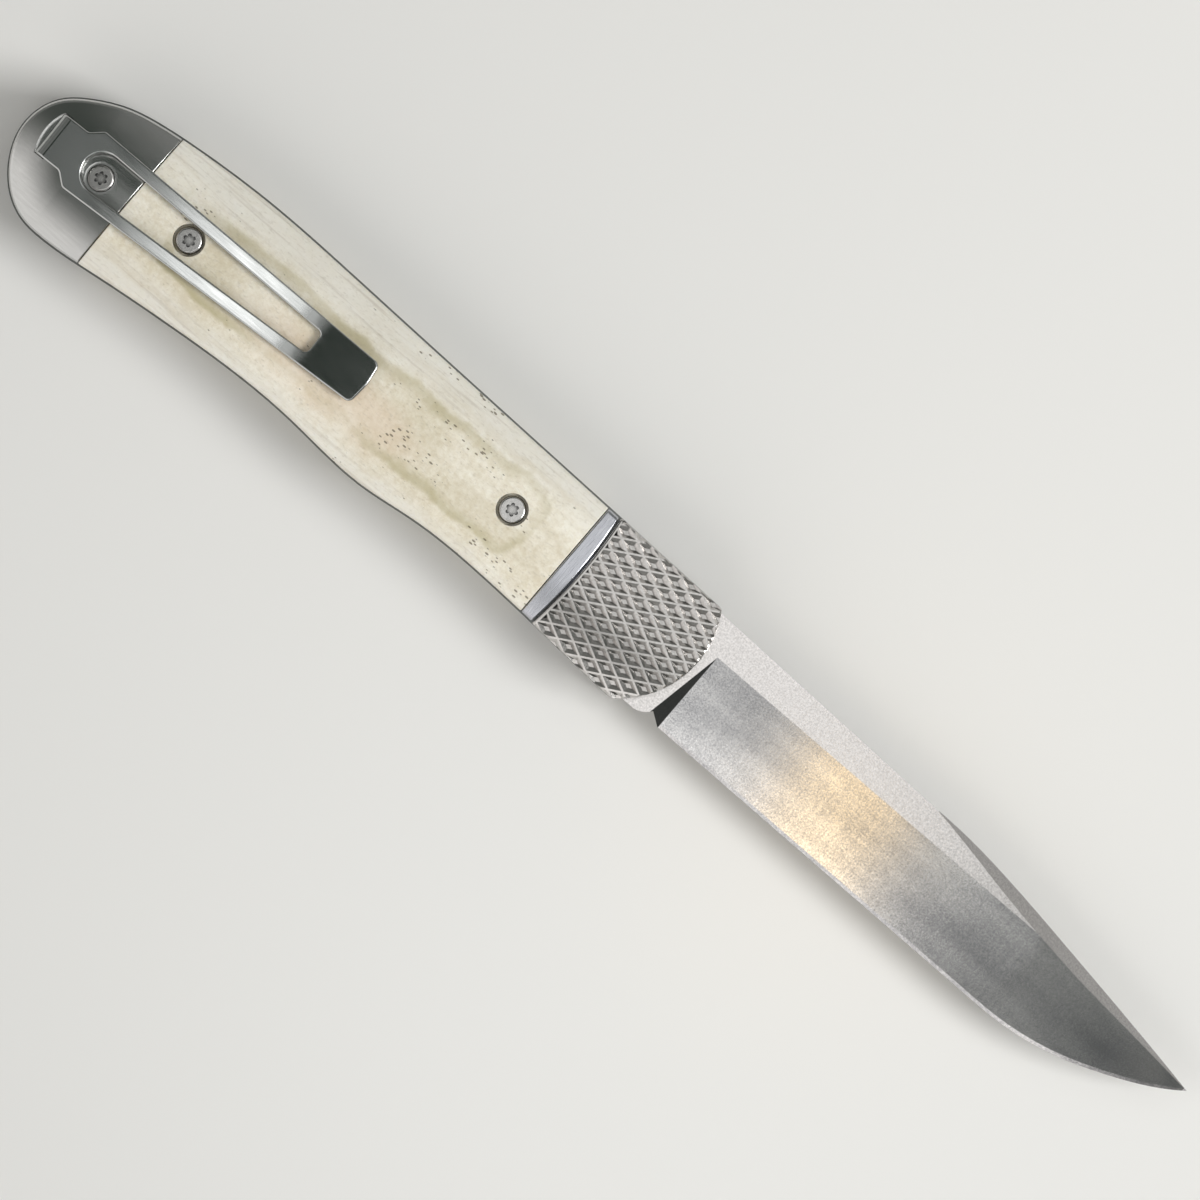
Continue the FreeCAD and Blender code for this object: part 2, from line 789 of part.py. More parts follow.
def lobe_drive(z0, z1):
    # Six round lobes about a round core
    lobe = lobe_drive_radius * lobe_share
    core = lobe_drive_radius - lobe
    lobes = []
    for i in range(6):
        angle = math.radians(60 * i)
        lobes.append(rod(core * math.cos(angle), core * math.sin(angle), z0, z1, lobe))
    return rod(0, 0, z0, z1, core).fuse(lobes)


def side_screw(x, y, z_end):
    # Round-edged head at the foot of its counterbore, shank down into the liner
    floor = side_out - counterbore_depth
    top = floor + screw_head_height
    head = rod(0, 0, floor, top, screw_head_radius)
    rim = [e for e in head.Edges if e.BoundBox.ZMin > top - screw_head_round]
    head = head.makeFillet(screw_head_round, rim)
    screw = head.fuse(rod(0, 0, z_end, floor, screw_shank_radius))
    screw = screw.cut(lobe_drive(top - lobe_drive_depth, top + overrun))
    screw.translate(V(x, y, 0))
    return screw


def screw_hole(x, y):
    floor = side_out - counterbore_depth
    return rod(x, y, floor, side_out + overrun, counterbore_radius).fuse(
        rod(x, y, -overrun, floor, screw_shank_radius + shank_play))


def scale_screws():
    end = half_gap + screw_end_inset
    return Part.makeCompound([side_screw(x, y, end) for x, y in scale_screw_places()])


def cap_screw():
    x, y = cap_screw_place()
    return side_screw(x, y, half_gap + screw_end_inset)


# Bone scales, end caps and bands


def lever_pocket():
    # The room that the lever and its spring need under the bone and the band
    play = lever_side_play
    low_y = stud_y - lever_half_width - play
    rise = (nose_reach - stud_x) * math.tan(swing)
    top_y = stud_y + lever_half_width + play
    front = nose_reach
    corners = [(stud_x, low_y), (front, low_y), (front, top_y + rise), (stud_x, top_y)]
    pocket = prism(corners, liner_out - overrun, pocket_roof)
    pocket = pocket.fuse(rod(stud_x, stud_y, liner_out - overrun, pocket_roof, lever_eye_radius + play))
    spring_y = return_spring_height() + return_eye_radius + play
    spring_x = -return_spring_reach - return_eye_radius - play
    spring = block(spring_x, spring_x + return_spring_length + 2 * return_eye_radius,
                   stud_y, spring_y, liner_out - overrun, pocket_roof)
    return pocket.fuse(spring)


def bone_scale():
    side = crowned_side(side_inset, side_out + bone_land_half ** 2 / (2 * bone_crown), bone_crown)
    bone = side.common(span(cap_joint_x + seam / 2, -band_joint_reach - seam / 2))
    bone = bone.makeFillet(seam_round, rim_edges(bone, liner_out))
    return bone.cut([screw_hole(x, y) for x, y in scale_screw_places()])


def metal_side():
    return crowned_side(side_inset, side_out - metal_set, metal_crown)


def end_cap():
    cap = metal_side().common(span(-butt_reach - overrun, cap_joint_x - seam / 2))
    cap = cap.makeFillet(seam_round, rim_edges(cap, liner_out))
    return cap.cut(screw_hole(*cap_screw_place()))


def band():
    piece = metal_side().common(span(seam / 2 - band_joint_reach, nose_reach))
    piece = piece.common(swing_disc(swing_radius))
    piece = piece.makeFillet(band_round, rim_edges(piece, liner_out))
    low = liner_out - overrun
    return piece.cut([rod(x, y, low, liner_out + band_rivet_bite, band_rivet_radius + pin_fit)
                      for x, y in band_rivet_places()])


def band_rivets():
    top = liner_out + band_rivet_bite
    right = [rod(x, y, half_gap, top, band_rivet_radius) for x, y in band_rivet_places()]
    return Part.makeCompound(right + [left_of(r) for r in right])


# Bolsters


def knurl_pit():
    # One diamond pit at the crest of the crown: a shallow upside-down pyramid with a flat floor
    half_along = knurl_pitch_along / 2
    half_across = knurl_pitch_across / 2
    reach = half_along * half_across / math.hypot(half_along, half_across)
    wall_slope = knurl_depth / knurl_wall_run
    rise = knurl_rise_share * wall_slope * knurl_ridge / 2
    rings = []
    for height in (-knurl_depth, rise):
        share = (reach - knurl_ridge / 2 + height / wall_slope) / reach
        x, y = half_along * share, half_across * share
        rings.append([V(x, 0, height), V(0, y, height), V(-x, 0, height), V(0, -y, height)])
    low, high = rings
    outlines = [low[::-1], high]
    outlines += [[low[i - 1], low[i], high[i], high[i - 1]] for i in range(len(low))]
    faces = [Part.Face(Part.makePolygon(points + points[:1])) for points in outlines]
    return Part.Solid(Part.Shell(faces))


def knurl_pits():
    # Offset rows of pits, laid round the crown and stopped at a plain border along the rear arc
    crest = side_out - metal_set
    placement = crown_placement(crest, metal_crown)
    pit = knurl_pit()
    pit.translate(V(0, 0, metal_crown))
    half_along = knurl_pitch_along / 2
    columns = int((band_joint_reach + nose_reach) / half_along) + 1
    rows = int((spine_rise + belly_drop) / 2 / knurl_pitch_across) + 1
    arc_radius = swing_radius + bolster_gap
    rear = stud_x + arc_radius + knurl_start
    pits = []
    for i in range(-1, columns):
        shift = knurl_pitch_across / 2 * (i % 2)
        for j in range(-rows, rows + 1):
            angle = math.degrees((j * knurl_pitch_across + shift) / metal_crown)
            copy = pit.copy()
            copy.rotate(V(0, 0, 0), V(1, 0, 0), -angle)
            copy.translate(V(rear + half_along * i, 0, 0))
            copy.Placement = placement.multiply(copy.Placement)
            pits.append(copy)
    return Part.makeCompound(pits).cut(swing_disc(arc_radius + knurl_rear_margin))


def bolster():
    # The block that both bolsters are made from
    plate = handle_plate(bolster_inset, liner_out, side_out)
    body = plate.common(crown(side_out - metal_set, metal_crown))
    body = body.makeFillet(bolster_rim_round, rim_edges(body, liner_out))
    body = body.common(behind_nose(0)).cut(swing_disc(swing_radius + bolster_gap))
    body = body.makeFillet(bolster_round, rim_edges(body, liner_out))
    return body.cut(knurl_pits())


def lever_screw_places():
    return [(lever_rear_screw_reach, stud_y), (lever_front_screw_reach, stud_y)]


def lever_strap(play, z0, z1):
    # The lever's outline: a straight strap from its eye under the rear screw to the bolster
    half = lever_half_width + play
    strap = block(stud_x, lever_front_reach + play, stud_y - half, stud_y + half, z0, z1)
    return strap.fuse(rod(stud_x, stud_y, z0, z1, lever_eye_radius + play))


def release_bolster():
    body = bolster().cut(span_below(lever_low))
    body = body.cut(lever_strap(lever_play, liner_out - overrun, lever_top))
    half_x = sear_head_half_length + lever_side_play
    half_y = sear_head_half_width + lever_side_play
    roof = sear_head_low + sear_head_thickness + sear_lift + lever_play
    low_y = sear_y - half_y - sear_travel
    room = block(sear_x - half_x, sear_x + half_x, low_y, sear_y + half_y, liner_out, roof)
    holes = [rod(x, y, liner_out, lever_top + lever_screw_bite, lever_screw_radius + thread_fit)
             for x, y in lever_screw_places()]
    return body.cut([room] + holes)


def span_below(z):
    reach = butt_reach + tip_reach
    return block(-reach, reach, -reach, reach, -side_out - overrun, z)


def left_screw_places():
    rear = stud_x + swing_radius + left_screw_rear_inset
    front = nose_reach - left_screw_front_inset
    return [(rear, left_screw_rear_share * spine_rise), (front, left_screw_front_share * spine_rise)]


def left_bolster():
    low = liner_out - overrun
    holes = [rod(x, y, low, liner_out + left_screw_bite, left_screw_radius + thread_fit)
             for x, y in left_screw_places()]
    return left_of(bolster().cut(holes))


def left_bolster_screws():
    screws = []
    for x, y in left_screw_places():
        head = rod(x, y, half_gap, half_gap + left_screw_head, left_screw_head_radius)
        shank = rod(x, y, half_gap, liner_out + left_screw_bite, left_screw_radius)
        screws.append(left_of(head.fuse(shank)))
    return Part.makeCompound(screws)


# Release lever, its stud, screws and spring


def sear_ramp():
    # Two wedges beside the slot that run under the sear's T-head as the lever swings
    start = sear_y - sear_head_half_width - lever_play
    end = start - sear_travel
    points = [V(0, start, lever_top), V(0, end, lever_top), V(0, end, lever_top + sear_lift)]
    face = Part.Face(Part.makePolygon(points + points[:1]))
    wedge = face.extrude(V(ramp_width, 0, 0))
    inner = sear_pin_radius + sear_slot_play
    places = (sear_x + inner, sear_x - inner - ramp_width)
    return [wedge.translated(V(x, 0, 0)) for x in places]


def release_lever():
    strap = lever_strap(0, lever_low, lever_top)
    low, high = lever_low - overrun, lever_top + overrun
    strap = strap.fuse(sear_ramp())
    holes = [rod(stud_x, stud_y, low, high, stud_radius + running_fit),
             swing_slot(sear_x, sear_y, sear_pin_radius + sear_slot_play, low, high)]
    x, y = scale_screw_places()[0]
    holes.append(swing_slot(x, y, screw_shank_radius + lever_side_play, low, high))
    for x, y in lever_screw_places():
        holes.append(rod(x, y, low, high, lever_screw_radius + thread_fit))
        holes.append(rod(x, y, low, lever_low + lever_screw_head, lever_screw_head_radius + thread_fit))
    return strap.cut(holes)


def lever_screws():
    screws = []
    for x, y in lever_screw_places():
        head = rod(x, y, lever_low, lever_low + lever_screw_head, lever_screw_head_radius)
        screws.append(head.fuse(rod(x, y, lever_low, lever_top + lever_screw_bite, lever_screw_radius)))
    return Part.makeCompound(screws)


def lever_stud():
    foot = rod(stud_x, stud_y, half_gap, liner_out, stud_foot_radius)
    shoulder = rod(stud_x, stud_y, liner_out, pocket_roof, stud_radius)
    low, high = half_gap - overrun, pocket_roof + overrun
    thread = rod(stud_x, stud_y, low, high, screw_shank_radius + thread_fit)
    return foot.fuse(shoulder).cut(thread)


def return_spring_height():
    # The spring's eye clears the lever's edge, under its front side too, when the lever has swung right over
    rise = (rear_screw_reach - return_spring_reach + return_eye_radius) * math.tan(swing)
    return stud_y + lever_half_width + rise + return_eye_radius + lever_side_play


def return_spring():
    # A straight strip from an eye on its post to the lever's spine-side edge
    z0, z1 = lever_low, lever_top
    x, y = -return_spring_reach, return_spring_height()
    eye = rod(x, y, z0, z1, return_eye_radius)
    strip = block(x, x + return_spring_length, y, y + return_strip_thickness, z0, z1)
    drop = y - stud_y - lever_half_width - lever_play
    strip.rotate(V(x, y, 0), V(0, 0, 1), -math.degrees(math.asin(drop / return_spring_length)))
    hole = rod(x, y, z0 - overrun, z1 + overrun, return_post_radius + pin_fit)
    return eye.fuse(strip).cut(hole)


def return_post():
    return rod(-return_spring_reach, return_spring_height(), half_gap, pocket_roof, return_post_radius)


# Sear


def sear_leaf():
    width = sear_leaf_half_width
    leaf = block(sear_tail_x, sear_x, sear_y - width, sear_y + width, sear_low, sear_high)
    leaf = leaf.fuse(rod(sear_x, sear_y, sear_low, sear_high, width))
    tip = blade_half - sear_engagement
    stem = rod(sear_x, sear_y, tip, sear_head_low, sear_pin_radius)
    head = block(sear_x - sear_head_half_length, sear_x + sear_head_half_length,
                 sear_y - sear_head_half_width, sear_y + sear_head_half_width,
                 sear_head_low, sear_head_low + sear_head_thickness)
    low, high = sear_low - overrun, sear_high + overrun
    hole = rod(sear_rivet_x, sear_y, low, high, sear_rivet_radius + pin_fit)
    return leaf.cut(hole).fuse([stem, head])


def sear_rivet():
    return rod(sear_rivet_x, sear_y, sear_low, liner_out, sear_rivet_radius)


# Pocket clip


def clip_turn(shape):
    # The clip lies at a slight angle to the handle, about the cap screw
    turned = shape.copy()
    turned.rotate(V(-cap_screw_reach, clip_axis_height, 0), V(0, 0, 1), clip_tilt)
    return turned


def clip_root_x():
    return clip_butt_inset - butt_reach


def rounded_wire(points, radii, place):
    # A closed outline of straight runs, with a tangent arc of its own radius at each corner
    starts, ends, corners = [], [], []
    for i, (point, radius) in enumerate(zip(points, radii)):
        corner = V(*point, 0)
        back = (V(*points[i - 1], 0) - corner).normalize()
        ahead = (V(*points[(i + 1) % len(points)], 0) - corner).normalize()
        half = back.getAngle(ahead) / 2
        starts.append(corner + back * (radius / math.tan(half)))
        ends.append(corner + ahead * (radius / math.tan(half)))
        corners.append(corner + (back + ahead).normalize() * (radius / math.sin(half) - radius))
    edges = []
    for i, radius in enumerate(radii):
        if radius > 0:
            arc = [place(p.x, p.y) for p in (starts[i], corners[i], ends[i])]
            edges.append(Part.Arc(*arc).toShape())
        run = ends[i], starts[(i + 1) % len(points)]
        edges.append(Part.LineSegment(*[place(p.x, p.y) for p in run]).toShape())
    return Part.Wire(edges)


def clip_profile():
    # The strip seen from its side: foot on the liner, riser through the cap, leaf and lifted tip
    back = clip_root_x()
    front = back + clip_thickness
    foot_top = liner_out + clip_thickness
    foot_end = cap_joint_x - clip_foot_gap
    root = side_out + clip_root_gap
    bend = side_out + clip_bend_gap
    tip = bend + clip_tip_lift
    t = clip_thickness
    inner = clip_bend_round - clip_thickness
    long_bend = clip_bend_reach - clip_tip_reach
    corners = [(back, liner_out, clip_bend_round), (foot_end, liner_out, 0), (foot_end, foot_top, 0),
               (front, foot_top, inner), (front, root, inner), (-clip_bend_reach, bend, long_bend),
               (-clip_tip_reach, tip, 0), (-clip_tip_reach, tip + t, 0),
               (-clip_bend_reach, bend + t, long_bend), (back, root + t, clip_bend_round)]
    reach = clip_shoulder_half + overrun
    wire = rounded_wire([c[:2] for c in corners], [c[2] for c in corners],
                        lambda x, z: V(x, clip_axis_height - reach, z))
    return Part.Face(wire).extrude(V(0, 2 * reach, 0))


def clip_outline(z0, z1):
    # Plan of the clip: tab, shoulders, straight taper and a bulged tip with round corners
    back = clip_root_x() - overrun
    tab_end = clip_root_x() + clip_tab_length
    shoulder = tab_end + clip_shoulder_length
    tip = -clip_tip_reach
    soft = clip_shoulder_length / 2
    upper = [(back, clip_tab_half, 0), (tab_end, clip_tab_half, soft),
             (shoulder, clip_shoulder_half, soft), (tip - clip_tip_bulge, clip_tip_half, clip_tip_round)]
    lower = [(x, -y, r) for x, y, r in upper[::-1]]
    corners = upper + [(tip, 0, 2 * clip_tip_half)] + lower
    wire = rounded_wire([c[:2] for c in corners], [c[2] for c in corners],
                        lambda x, y: V(x, clip_axis_height + y, z0))
    return Part.Face(wire).extrude(V(0, 0, z1 - z0))


def clip_window(z0, z1):
    # Long opening between the arms, round at the screw and narrowing to the tip
    centre = -cap_screw_reach
    end = -clip_tip_reach - clip_window_end_length
    # The sides touch the round end where they are square to its radius
    taper = math.asin((clip_window_round - clip_window_end_half) / (end - centre))
    x1 = centre + clip_window_round * math.sin(taper)
    y1 = clip_window_round * math.cos(taper)
    points = [(x1, y1), (end, clip_window_end_half), (end, -clip_window_end_half), (x1, -y1)]
    radii = [0, clip_window_corner, clip_window_corner, 0]
    wire = rounded_wire(points, radii, lambda x, y: V(x, clip_axis_height + y, z0))
    straight = Part.Face(wire).extrude(V(0, 0, z1 - z0))
    return straight.fuse(rod(centre, clip_axis_height, z0, z1, clip_window_round))


def pocket_clip():
    top = side_out + clip_root_gap + clip_tip_lift + overrun
    clip = clip_profile().common(clip_outline(liner_out - overrun, top))
    clip = clip.cut(clip_window(side_out - metal_set, top))
    reach = clip_shoulder_half + overrun
    for side in (1, -1):
        inner, outer = sorted((side * clip_tab_half, side * reach))
        clip = clip.cut(block(-butt_reach, 0, clip_axis_height + inner, clip_axis_height + outer,
                              liner_out - overrun, side_out))
    x, y = cap_screw_place()
    return clip_turn(clip).cut(rod(x, y, liner_out - overrun, side_out, screw_shank_radius + shank_play))


def clip_room():
    # The slot for the riser, bowed at the back, and the pocket for the foot under the cap
    play = clip_slot_play
    back = clip_root_x() - play
    front = clip_root_x() + clip_bend_round + play
    half = clip_tab_half + play
    y0 = clip_axis_height
    slot = block(back, front, y0 - half, y0 + half, liner_out - overrun, side_out + overrun)
    bow_radius = (clip_slot_bow ** 2 + half ** 2) / (2 * clip_slot_bow)
    bow_x = back - clip_slot_bow
    high = side_out + overrun
    bow = rod(bow_x + bow_radius, y0, liner_out + clip_thickness, high, bow_radius)
    bow = bow.common(block(bow_x, front, y0 - half, y0 + half, liner_out, high))
    foot = block(back, cap_joint_x - clip_foot_gap + play, y0 - half, y0 + half,
                 liner_out - overrun, liner_out + clip_thickness + lever_play)
    return clip_turn(slot.fuse([bow, foot]))


pieces = {
    "blade": blade(),
    "pivot_barrel": pivot_barrel(),
    "pivot_screws": pivot_screws(),
    "right_pivot_washer": washer(sear_reach - sear_pin_radius - washer_pin_gap),
    "left_pivot_washer": left_of(washer(pivot_radius + hub_wall - pivot_fit)),
    "stop_pin": stop_pin(),
    "kick_spring": kick_spring(),
    "right_liner": right_liner(),
    "left_liner": left_liner(),
    "backspacer": backspacer(),
    "frame_pins": frame_pins(),
    "right_scale": bone_scale().cut(lever_pocket()),
    "left_scale": left_of(bone_scale()),
    "right_end_cap": end_cap().cut(clip_room()),
    "left_end_cap": left_of(end_cap()),
    "right_band": band().cut(lever_pocket()),
    "left_band": left_of(band()),
    "band_rivets": band_rivets(),
    "release_bolster": release_bolster(),
    "left_bolster": left_bolster(),
    "left_bolster_screws": left_bolster_screws(),
    "release_lever": release_lever(),
    "lever_screws": lever_screws(),
    "lever_stud": lever_stud(),
    "return_spring": return_spring(),
    "return_post": return_post(),
    "sear_leaf": sear_leaf(),
    "sear_rivet": sear_rivet(),
    "pocket_clip": pocket_clip(),
    "right_scale_screws": scale_screws(),
    "left_scale_screws": left_of(scale_screws()),
    "right_cap_screw": cap_screw(),
    "left_cap_screw": left_of(cap_screw()),
}

# The origin is the middle of the open knife's box, on the plane that it lies on
box = Part.makeCompound(list(pieces.values())).optimalBoundingBox(False)
origin = V(box.Center.x, box.Center.y, box.ZMin)
os.makedirs("parts", exist_ok=True)
for name, shape in pieces.items():
    shape.translate(-origin)
    shape.exportStep("parts/" + name + ".step")
print("origin", origin, "size", box.XLength, box.YLength, box.ZLength)
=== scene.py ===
import math

import bmesh
import bpy
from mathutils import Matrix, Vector


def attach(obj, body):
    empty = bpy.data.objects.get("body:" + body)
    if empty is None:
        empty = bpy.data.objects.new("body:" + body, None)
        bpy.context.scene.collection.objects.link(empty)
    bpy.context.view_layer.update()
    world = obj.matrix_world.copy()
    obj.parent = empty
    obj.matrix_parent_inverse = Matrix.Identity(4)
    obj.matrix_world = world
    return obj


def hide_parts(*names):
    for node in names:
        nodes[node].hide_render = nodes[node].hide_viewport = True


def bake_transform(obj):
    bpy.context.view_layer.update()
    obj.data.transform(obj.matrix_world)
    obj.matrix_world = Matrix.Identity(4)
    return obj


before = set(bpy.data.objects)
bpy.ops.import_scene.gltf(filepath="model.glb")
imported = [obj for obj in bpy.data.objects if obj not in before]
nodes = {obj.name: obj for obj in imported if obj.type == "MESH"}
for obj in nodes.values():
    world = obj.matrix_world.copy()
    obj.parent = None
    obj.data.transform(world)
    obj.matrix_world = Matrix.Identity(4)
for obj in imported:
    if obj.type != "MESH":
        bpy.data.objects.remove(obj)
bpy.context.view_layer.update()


# Blade
# A drop-point blade of stainless steel, flat ground from 3 mm stock with a swedge on its back.
# Belt-ground and tumbled: a close, even satin, with a fine speckle where the grit has broken up the light.


def linear(code):
    # An sRGB hex colour as the linear colour that shaders take
    channels = [int(code[i:i + 2], 16) / 255 for i in (1, 3, 5)]
    return [c / 12.92 if c <= 0.04045 else ((c + 0.055) / 1.055) ** 2.4 for c in channels] + [1.0]


def add(tree, kind, links=None, **settings):
    # One node with its settings, and its inputs given as values or as the outputs that feed them
    node = tree.nodes.new(kind)
    for name, value in settings.items():
        setattr(node, name, value)
    for name, value in (links or {}).items():
        if isinstance(value, bpy.types.NodeSocket):
            tree.links.new(value, node.inputs[name])
        else:
            node.inputs[name].default_value = value
    return node


def per_mm(*sizes):
    # Pattern scales, in repeats per metre, for features of these sizes in millimetres
    return [1000 / size for size in sizes]


def start_material(name):
    # A new material, its node tree, its shader and the place on the piece that patterns follow
    material = bpy.data.materials.new(name)
    material.use_nodes = True
    tree = material.node_tree
    place = add(tree, "ShaderNodeTexCoord").outputs["Object"]
    return material, tree, tree.nodes["Principled BSDF"], place


def finished_copy(node, name, material, crease, edge_break=0.0, bends=()):
    # A copy of a node's mesh as hand finishing leaves it: corners under the crease angle, in degrees, are
    # smoothed over and, where edge_break is given, sharper ones are rounded by that much. Bends are places
    # along X where a strip is cut across, so that it can flex there.
    weld_reach = 1e-6
    flat_angle = math.radians(0.4)
    crease_angle = math.radians(crease)
    rough = nodes[node].data
    mesh = bpy.data.meshes.new(name)
    mesh.from_pydata([v.co for v in rough.vertices], [], [p.vertices for p in rough.polygons])
    shape = bmesh.new()
    shape.from_mesh(mesh)
    bmesh.ops.remove_doubles(shape, verts=shape.verts, dist=weld_reach)
    if edge_break:
        bmesh.ops.dissolve_limit(shape, angle_limit=flat_angle, verts=shape.verts, edges=shape.edges)
        sharp = [e for e in shape.edges if e.calc_face_angle(0.0) > crease_angle]
        bmesh.ops.bevel(shape, geom=sharp, offset=edge_break, segments=4, profile=0.5, affect="EDGES",
                        clamp_overlap=False)
    for x in bends:
        whole = shape.verts[:] + shape.edges[:] + shape.faces[:]
        bmesh.ops.bisect_plane(shape, geom=whole, plane_co=(x, 0.0, 0.0), plane_no=(1.0, 0.0, 0.0))
    for face in shape.faces:
        face.smooth = True
    for edge in shape.edges:
        edge.smooth = edge.calc_face_angle(0.0) < crease_angle
    shape.to_mesh(mesh)
    shape.free()
    mesh.materials.append(material)
    piece = bpy.data.objects.new(name, mesh)
    bpy.context.scene.collection.objects.link(piece)
    piece.modifiers.new("even_shading", "WEIGHTED_NORMAL").keep_sharp = True
    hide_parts(node)
    return piece


# Satin steel: the flats are finer, the bevels show grind lines across the blade and soft clouds along it.
# The real grit is near 0.05 mm, and is drawn coarser so that it shows.
grit_mm = 0.24
grind_line_mm = (0.3, 5, 5)
cloud_mm = (16, 4.5, 6)
grind_depth = 0.000006
material, tree, shader, place = start_material("satin_blade_steel")
facing = add(tree, "ShaderNodeSeparateXYZ", {"Vector": add(tree, "ShaderNodeTexCoord").outputs["Normal"]})
bevel = add(tree, "ShaderNodeMapRange", {"Value": facing.outputs["Y"], "From Min": -0.03, "From Max": -0.07})
grit = add(tree, "ShaderNodeTexNoise",
           {"Vector": place, "Scale": per_mm(grit_mm)[0], "Detail": 2.0, "Roughness": 0.8}).outputs["Fac"]
line_map = add(tree, "ShaderNodeMapping", {"Vector": place, "Scale": per_mm(*grind_line_mm)})
lines = add(tree, "ShaderNodeTexNoise", {"Vector": line_map.outputs["Vector"], "Scale": 1.0, "Detail": 3.0})
cloud_map = add(tree, "ShaderNodeMapping", {"Vector": place, "Scale": per_mm(*cloud_mm)})
clouds = add(tree, "ShaderNodeTexNoise", {"Vector": cloud_map.outputs["Vector"], "Scale": 1.0, "Detail": 3.0})
streaky = add(tree, "ShaderNodeMixRGB",
              {"Fac": 0.2, "Color1": grit, "Color2": lines.outputs["Fac"]}).outputs["Color"]
cloudy = add(tree, "ShaderNodeMixRGB", {"Fac": 0.35, "Color1": streaky, "Color2": clouds.outputs["Fac"]})
spread = add(tree, "ShaderNodeMapRange",
             {"Value": cloudy.outputs["Color"], "From Min": 0.36, "From Max": 0.64})
fine = add(tree, "ShaderNodeMapRange", {"Value": grit, "From Min": 0.32, "From Max": 0.68})
flat_tone = add(tree, "ShaderNodeMixRGB", {"Fac": fine.outputs["Result"], "Color1": linear("#CFCBC9"),
                                           "Color2": linear("#EAE6E4")})
bevel_tone = add(tree, "ShaderNodeMixRGB", {"Fac": spread.outputs["Result"], "Color1": linear("#98989B"),
                                            "Color2": linear("#EBE9E8")})
tone = add(tree, "ShaderNodeMixRGB", {"Fac": bevel.outputs["Result"], "Color1": flat_tone.outputs["Color"],
                                      "Color2": bevel_tone.outputs["Color"]})
# Painted shade: the plunge, which faces the tip, is painted dark
painted_plunge_shade = add(tree, "ShaderNodeMapRange", {"Value": facing.outputs["X"], "From Min": 0.1, "From Max": 0.3,
                                             "To Max": 0.75})
tone = add(tree, "ShaderNodeMixRGB", {"Fac": painted_plunge_shade.outputs["Result"], "Color1": tone.outputs["Color"],
                                      "Color2": linear("#3C3C3A")})
gloss = add(tree, "ShaderNodeMapRange", {"Value": streaky, "From Min": 0.3, "From Max": 0.7,
                                         "To Min": 0.27, "To Max": 0.17})
height = add(tree, "ShaderNodeBump", {"Height": streaky, "Strength": 1.0, "Distance": grind_depth})
tree.links.new(tone.outputs["Color"], shader.inputs["Base Color"])
tree.links.new(gloss.outputs["Result"], shader.inputs["Roughness"])
tree.links.new(height.outputs["Normal"], shader.inputs["Normal"])
shader.inputs["Metallic"].default_value = 1.0
blade_crease = 3
blade = finished_copy("blade", "satin_blade", material, blade_crease)
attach(blade, "blade")


# Pivot, stop pin and washers
# A hollow steel pivot with a screw from each side, a hardened stop pin and two bronze washers.
# Turned and plain ground, they sit between the liners and hardly show.


def finished_metal(name, colour, shade, roughness, spread, grain, bump_mm, shade_reach_mm=None):
    # A metal whose grain, of these sizes along X, Y and Z in millimetres, varies its colour, gloss and
    # height. Where a shade reach is given, corners and recesses of about that size get painted shade.
    material, tree, shader, place = start_material(name)
    stretched = add(tree, "ShaderNodeMapping", {"Vector": place, "Scale": per_mm(*grain)})
    noise = add(tree, "ShaderNodeTexNoise",
                {"Vector": stretched.outputs["Vector"], "Scale": 1.0, "Detail": 4.0, "Roughness": 0.6})
    grit = noise.outputs["Fac"]
    tone = add(tree, "ShaderNodeMixRGB", {"Fac": grit, "Color1": linear(shade), "Color2": linear(colour)})
    if shade_reach_mm:
        # Painted shade: ambient occlusion darkens corners and recesses toward a dark grey
        open_share = add(tree, "ShaderNodeAmbientOcclusion", {"Distance": shade_reach_mm / 1000}, samples=8)
        unshaded = add(tree, "ShaderNodeMapRange",
                    {"Value": open_share.outputs["AO"], "From Min": 0.3, "From Max": 0.85})
        tone = add(tree, "ShaderNodeMixRGB", {"Fac": unshaded.outputs["Result"], "Color1": linear("#343433"),
                                              "Color2": tone.outputs["Color"]})
    gloss = add(tree, "ShaderNodeMapRange", {"Value": grit, "From Min": 0.25, "From Max": 0.75,
                                             "To Min": roughness + spread, "To Max": roughness - spread})
    height = add(tree, "ShaderNodeBump", {"Height": grit, "Strength": 1.0, "Distance": bump_mm / 1000})
    tree.links.new(tone.outputs["Color"], shader.inputs["Base Color"])
    tree.links.new(gloss.outputs["Result"], shader.inputs["Roughness"])
    tree.links.new(height.outputs["Normal"], shader.inputs["Normal"])
    shader.inputs["Metallic"].default_value = 1.0
    return material


def dress(material, *names):
    for name in names:
        nodes[name].data.materials[0] = material


# Turned steel: fine rings and a soft shine, with painted shade in its recesses
turned_steel = finished_metal("turned_steel", "#D4D2CF", "#A8A6A4", roughness=0.24, spread=0.06,
                              grain=(0.5, 0.5, 0.12), bump_mm=0.003, shade_reach_mm=0.7)
dress(turned_steel, "pivot_barrel", "pivot_screws", "stop_pin")
# Rolled bronze: warm and rather dull, with short marks from the rolls
rolled_bronze = finished_metal("rolled_bronze", "#C79A62", "#9C7444", roughness=0.38, spread=0.08,
                               grain=(0.4, 0.3, 0.3), bump_mm=0.003)
dress(rolled_bronze, "right_pivot_washer", "left_pivot_washer")


# Springs, release lever and sear
# Strip steel, hardened and tempered, coiled in the tang or lying in pockets of the right side.
# The lever turns on a stud under the rear screw, and its screws hold it to the swinging bolster.
# The sear leaf is riveted to the liner, and the return spring stands on its post: both bend with the lever.

# Tempered strip: grey-blue and half dull, with long lines from the rolls
tempered_strip = finished_metal("tempered_strip", "#7C7F86", "#5B5D62", roughness=0.36, spread=0.08,
                                grain=(2.0, 0.25, 0.25), bump_mm=0.003)
dress(tempered_strip, "kick_spring", "release_lever")
